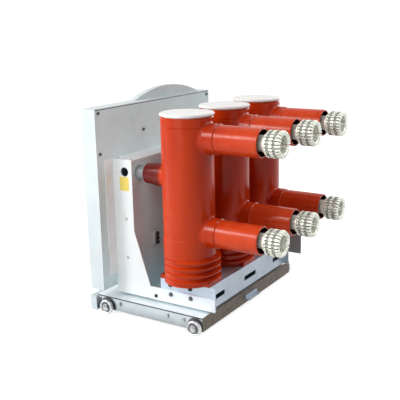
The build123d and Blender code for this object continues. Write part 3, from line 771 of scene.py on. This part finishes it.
CHEEK_ROWS = (-52 * MM, 19 * MM)  # rows are measured along Y from the pole axes
CHEEK_RISE = 57 * MM  # above the foot of the side plates
RAIL_SHIFT = 3 * MM
RAIL_RISE = 28 * MM
SKIRT_ROWS = (-214 * MM, -36 * MM, 22 * MM)
SKIRT_RISE = 26 * MM
PLATE_ROW = -206 * MM
PLATE_HEIGHTS = (303 * MM, 180 * MM)

for name, side in SIDES.items():
    outward = (side, 0, 0)
    cheek = [(side * carrier_high[0], pole_y + row, plate_foot + CHEEK_RISE) for row in CHEEK_ROWS]
    rail = [(side * plate_face, pole_y + row + RAIL_SHIFT, plate_foot + RAIL_RISE) for row in CHEEK_ROWS]
    skirt = [(side * truck_high[0], pole_y + row, truck_low[2] + SKIRT_RISE) for row in SKIRT_ROWS]
    plate = [(side * plate_face, pole_y + PLATE_ROW, height) for height in PLATE_HEIGHTS]
    set_on(f"cheek_bolts_{name}", large_bolt, cheek, outward, bolt_black)
    set_on(f"rail_bolts_{name}", large_bolt, rail, outward, bolt_dull)
    set_on(f"skirt_bolts_{name}", large_bolt, skirt, outward, bolt_zinc)
    set_on(f"plate_screws_{name}", round_screw, plate, outward, bolt_zinc, crease=ROUNDED)

BACK_INSET = 12 * MM
BACK_DROPS = (10 * MM, 132 * MM)
BACK_MIDDLE = 83 * MM
BACK_MIDDLE_HEIGHT = 555 * MM
back_spots = [(back_high[1], back_high[2] - drop) for drop in BACK_DROPS]
back_bolts = mirrored(back_high[0] - BACK_INSET, back_spots)
back_bolts += mirrored(BACK_MIDDLE, [(back_high[1], BACK_MIDDLE_HEIGHT)])
set_on("panel_bolts", small_bolt, back_bolts, REARWARD, bolt_dull)

LID_SIDE = 14 * MM
LID_END = 12 * MM
lid_spots = [(y, lid_high[2]) for y in (lid_low[1] + LID_END, lid_high[1] - LID_END)]
lid_screws = mirrored(lid_high[0] - LID_SIDE, lid_spots)
set_on("lid_screws", round_screw, lid_screws, UPWARD, bolt_zinc, crease=ROUNDED)

COVER_INSET = 22 * MM
cover_spots = [(cover_low[1], z) for z in (cover_low[2] + COVER_INSET, cover_high[2] - COVER_INSET)]
cover_screws = mirrored(cover_high[0] - COVER_INSET, cover_spots)
set_on("cover_screws", round_screw, cover_screws, FORWARD, bolt_zinc, crease=ROUNDED)

# Front panel: screws along its edges, rims round the windows and collars round the buttons

PANEL_SIDE = 20 * MM
PANEL_END = 26 * MM
edge_heights = (panel_low[2] + PANEL_END, node_middle("front_panel")[2], panel_high[2] - PANEL_END)
panel_screws = mirrored(panel_high[0] - PANEL_SIDE, [(panel_low[1], z) for z in edge_heights])
set_on("panel_screws", round_screw, panel_screws, FORWARD, bolt_zinc, crease=ROUNDED)

WINDOW_PITCH = 118 * MM
WINDOW_WIDTH = 78 * MM
WINDOW_HEIGHT = 36 * MM
WINDOW_CORNER = 6 * MM
RIM_BAND = 4.6 * MM
RIM_THICK = 2 * MM
window_z = node_middle("indicator_windows")[2]
windows = [(step * WINDOW_PITCH, cover_low[1], window_z) for step in (-1, 0, 1)]
rim = frame_rim(WINDOW_WIDTH, WINDOW_HEIGHT, WINDOW_CORNER, RIM_BAND, RIM_THICK)
set_on("window_rims", rim, windows, FORWARD, collar_dark, closed=True)

BUTTON_RADIUS = 17 * MM
COLLAR = 5 * MM
COLLAR_GAP = 0.6 * MM
COLLAR_THICK = 2.4 * MM
COLLAR_FLAT = 0.1 * MM  # keeps the four arcs of the round outline apart
button_z = node_middle("push_buttons")[2]
buttons = mirrored(button_high[0] - BUTTON_RADIUS, [(cover_low[1], button_z)])
outer = BUTTON_RADIUS + COLLAR
collar = frame_rim(2 * outer, 2 * outer, outer - COLLAR_FLAT, COLLAR - COLLAR_GAP, COLLAR_THICK)
set_on("button_collars", collar, buttons, FORWARD, collar_dark, closed=True)

# Fillets at the roots of the bosses and of the stub on every pole

COLUMN_RADIUS = 77 * MM
BOSS_RADIUS = 44 * MM
BOSS_FILLET = 9 * MM
BOSS_TAPER = 0.0
STUB_RADIUS = 38 * MM
STUB_FILLET = 7 * MM
STUB_TAPER = 0.7 * MM
STUB_BELOW_LID = 41 * MM
stub_z = lid_high[2] - STUB_BELOW_LID

for phase in PHASES:
    pole_x = node_middle(f"pole_cap_{phase}")[0]
    roots = []
    for level in LEVELS:
        boss = (pole_x, pole_y, node_middle(f"tulip_{level}_{phase}")[2])
        roots.append(root_fillet(boss, BOSS_RADIUS, COLUMN_RADIUS, BOSS_FILLET, BOSS_TAPER, 1.0))
    stub = (pole_x, pole_y, stub_z)
    roots.append(root_fillet(stub, STUB_RADIUS, COLUMN_RADIUS, STUB_FILLET, STUB_TAPER, -1.0))
    add_piece(f"root_fillets_{phase}", roots, True, pole_resin, SMOOTH)

# Black square block sunk in the hole of each side plate, shaped as the end of a square shaft: painted shade
# for the dark inside of the hole

BLOCK_SIZE = 11.4 * MM
BLOCK_LENGTH = 9 * MM
BLOCK_SUNK = 0.8 * MM
BLOCK_CORNER = 0.8 * MM
BLOCK_BEVEL = 0.5 * MM
BLOCK_ROW = -105 * MM
BLOCK_RISE = 12 * MM
hole_block = rounded_plate(BLOCK_SIZE, BLOCK_SIZE, BLOCK_CORNER, BLOCK_LENGTH, BLOCK_BEVEL)
block_foot = plate_face - BLOCK_LENGTH - BLOCK_SUNK

for name, side in SIDES.items():
    place = (side * block_foot, pole_y + BLOCK_ROW, plate_foot + BLOCK_RISE)
    # Painted shade: a black block fills the hole
    set_on(f"hole_shade_block_{name}", hole_block, [place], (side, 0, 0), bolt_black)

# Terminal strip on the rear wall of the housing, beside the right pole: a light base with three dark screws

STRIP_X = 141 * MM
STRIP_HEIGHT = 219 * MM
STRIP_WIDTH = 24 * MM
STRIP_LENGTH = 46 * MM
STRIP_CORNER = 3 * MM
STRIP_THICK = 6 * MM
STRIP_BEVEL = 1.2 * MM
STRIP_PITCH = 14 * MM
STRIP_SHIFT = -4 * MM
strip_place = np.array((STRIP_X, wall_rear, STRIP_HEIGHT))
strip = rounded_plate(STRIP_WIDTH, STRIP_LENGTH, STRIP_CORNER, STRIP_THICK, STRIP_BEVEL)
set_on("terminal_strip", strip, [strip_place], REARWARD, cover_grey)
strip_screws = [strip_place + (STRIP_SHIFT, STRIP_THICK, step * STRIP_PITCH) for step in (-1, 0, 1)]
set_on("strip_screws", large_bolt, strip_screws, REARWARD, bolt_black)

# Blank yellow patch on the right side plate

PATCH_ROW = -208 * MM
PATCH_HEIGHT = 413 * MM
PATCH_WIDTH = 34 * MM
PATCH_LENGTH = 43 * MM
PATCH_CORNER = 2 * MM
PATCH_THICK = 0.4 * MM
PATCH_BEVEL = 0.1 * MM
patch = rounded_plate(PATCH_WIDTH, PATCH_LENGTH, PATCH_CORNER, PATCH_THICK, PATCH_BEVEL)
patch_place = (plate_face, pole_y + PATCH_ROW, PATCH_HEIGHT)
set_on("yellow_patch", patch, [patch_place], (1, 0, 0), label_yellow)

# Thread of the racking screw, between its bearings

THREAD_END = 18 * MM
THREAD_CORE = 9.1 * MM
THREAD_RIDGE = 1.5 * MM
THREAD_PITCH = 5 * MM
thread_start = racking_low[1] + THREAD_END
thread_end = racking_high[1] - THREAD_END
racking_z = node_middle("racking_screw")[2]
thread = screw_thread(thread_start, thread_end, 0.0, racking_z, THREAD_CORE, THREAD_RIDGE, THREAD_PITCH)
add_piece("screw_thread", [thread], False, screw_steel, ROUNDED)

# Stage: floor, world, lamps

PAPER = (200, 200, 200)
FLOOR_REACH = 15.0
FLOOR_DROP = -0.5 * MM
FLOOR_GLOW = 0.82
FADE_NEAR = 0.6  # distances from the object between which the paper's own white grows full
FADE_FAR = 2.2
SKY_SEEN = 1.0
SKY_LIGHT = 0.08


def seen_ray(tree):
    """One for a ray from the camera or off a mirror or through glass, else nought."""
    path = add_node(tree, "LightPath")
    total = path.outputs["Is Camera Ray"]
    for name in ("Is Glossy Ray", "Is Transmission Ray"):
        larger = add_node(tree, "Math", "MAXIMUM")
        tree.links.new(total, larger.inputs[0])
        tree.links.new(path.outputs[name], larger.inputs[1])
        total = larger.outputs[0]
    return total


def floor_paper():
    """Pale paper that shows as white, fully so far away, and keeps the shadow close under the object."""
    paper = bpy.data.materials.new("floor_paper")
    paper.use_nodes = True
    tree = paper.node_tree
    tree.nodes.clear()
    diffuse = add_node(tree, "BsdfDiffuse")
    diffuse.inputs["Color"].default_value = srgb(*PAPER)
    glow = add_node(tree, "Emission")
    both = add_node(tree, "AddShader")
    out = add_node(tree, "OutputMaterial")
    reach = add_node(tree, "VectorMath", "LENGTH")
    shown = add_node(tree, "Math", "MULTIPLY")
    tree.links.new(add_node(tree, "TexCoord").outputs["Object"], reach.inputs[0])
    fade = add_range(tree, reach.outputs["Value"], FADE_NEAR, FADE_FAR, FLOOR_GLOW, 1.0)
    tree.links.new(fade, shown.inputs[0])
    tree.links.new(seen_ray(tree), shown.inputs[1])
    tree.links.new(shown.outputs[0], glow.inputs["Strength"])
    tree.links.new(diffuse.outputs[0], both.inputs[0])
    tree.links.new(glow.outputs[0], both.inputs[1])
    tree.links.new(both.outputs[0], out.inputs["Surface"])
    return paper


floor_corners = np.array([(-1, -1, 0), (1, -1, 0), (1, 1, 0), (-1, 1, 0)]) * FLOOR_REACH + (0, 0, FLOOR_DROP)
floor_mesh = bpy.data.meshes.new("floor")
floor_mesh.from_pydata(floor_corners.tolist(), [], [(0, 1, 2, 3)])
floor_mesh.materials.append(floor_paper())
floor = bpy.data.objects.new("floor", floor_mesh)
bpy.context.collection.objects.link(floor)

# The world is white where it is seen and gives the object only a little light
world = bpy.data.worlds.new("studio")
bpy.context.scene.world = world
world.use_nodes = True
sky = world.node_tree
background = sky.nodes["Background"]
background.inputs["Color"].default_value = (1.0, 1.0, 1.0, 1.0)
sky.links.new(add_range(sky, seen_ray(sky), 0.0, 1.0, SKY_LIGHT, SKY_SEEN), background.inputs["Strength"])

# Each lamp's place, width, height and power; all look at the same point
LAMP_AIM = Vector((0.0, 0.0, 0.35))
LAMPS = {
    "key": ((2.35, -1.47, 2.15), 0.9, 0.9, 50.0),
    "window": ((1.06, -2.17, 1.32), 0.8, 1.3, 44.0),
    "front_fill": ((2.44, 0.65, 2.47), 0.9, 0.9, 13.0),
    "low_fill": ((2.76, -0.24, 0.74), 1.6, 0.8, 17.0),
    "rear_fill": ((-1.14, 1.83, 2.43), 1.4, 1.4, 36.0),
    "far_fill": ((-2.78, 0.10, 1.47), 1.4, 1.4, 20.0),
}

for name, (place, width, height, power) in LAMPS.items():
    light = bpy.data.lights.new(name, "AREA")
    light.shape = "RECTANGLE"
    light.size = width
    light.size_y = height
    light.energy = power
    lamp = bpy.data.objects.new(name, light)
    bpy.context.collection.objects.link(lamp)
    lamp.location = place
    lamp.rotation_mode = "QUATERNION"
    lamp.rotation_quaternion = (LAMP_AIM - Vector(place)).to_track_quat("-Z", "Y")

# Camera, fitted to the photograph: place, direction, turn about the view axis, lens and small shift

EYE = Vector((1.88922, 1.15000, 0.89441))
AZIMUTH = math.radians(121.94)
ELEVATION = math.radians(13.78)
ROLL = math.radians(-1.03)
IMAGE_PIXELS = 400.0
FOCAL_PIXELS = 711.32
CENTRE_X = 209.56
CENTRE_Y = 192.82
SENSOR = 36.0

level_reach = math.cos(ELEVATION)
back = Vector((math.sin(AZIMUTH) * level_reach, -math.cos(AZIMUTH) * level_reach, math.sin(ELEVATION)))
level_right = Vector(UPWARD).cross(back).normalized()
level_up = back.cross(level_right)
right = level_right * math.cos(ROLL) + level_up * math.sin(ROLL)
up = level_up * math.cos(ROLL) - level_right * math.sin(ROLL)
camera_data = bpy.data.cameras.new("camera")
camera_data.sensor_width = SENSOR
camera_data.lens = SENSOR * FOCAL_PIXELS / IMAGE_PIXELS
camera_data.shift_x = 0.5 - CENTRE_X / IMAGE_PIXELS
camera_data.shift_y = CENTRE_Y / IMAGE_PIXELS - 0.5
camera = bpy.data.objects.new("camera", camera_data)
bpy.context.collection.objects.link(camera)
camera.matrix_world = Matrix.Translation(EYE) @ Matrix((right, up, back)).transposed().to_4x4()
bpy.context.scene.camera = camera
bpy.context.scene.view_settings.view_transform = "Standard"
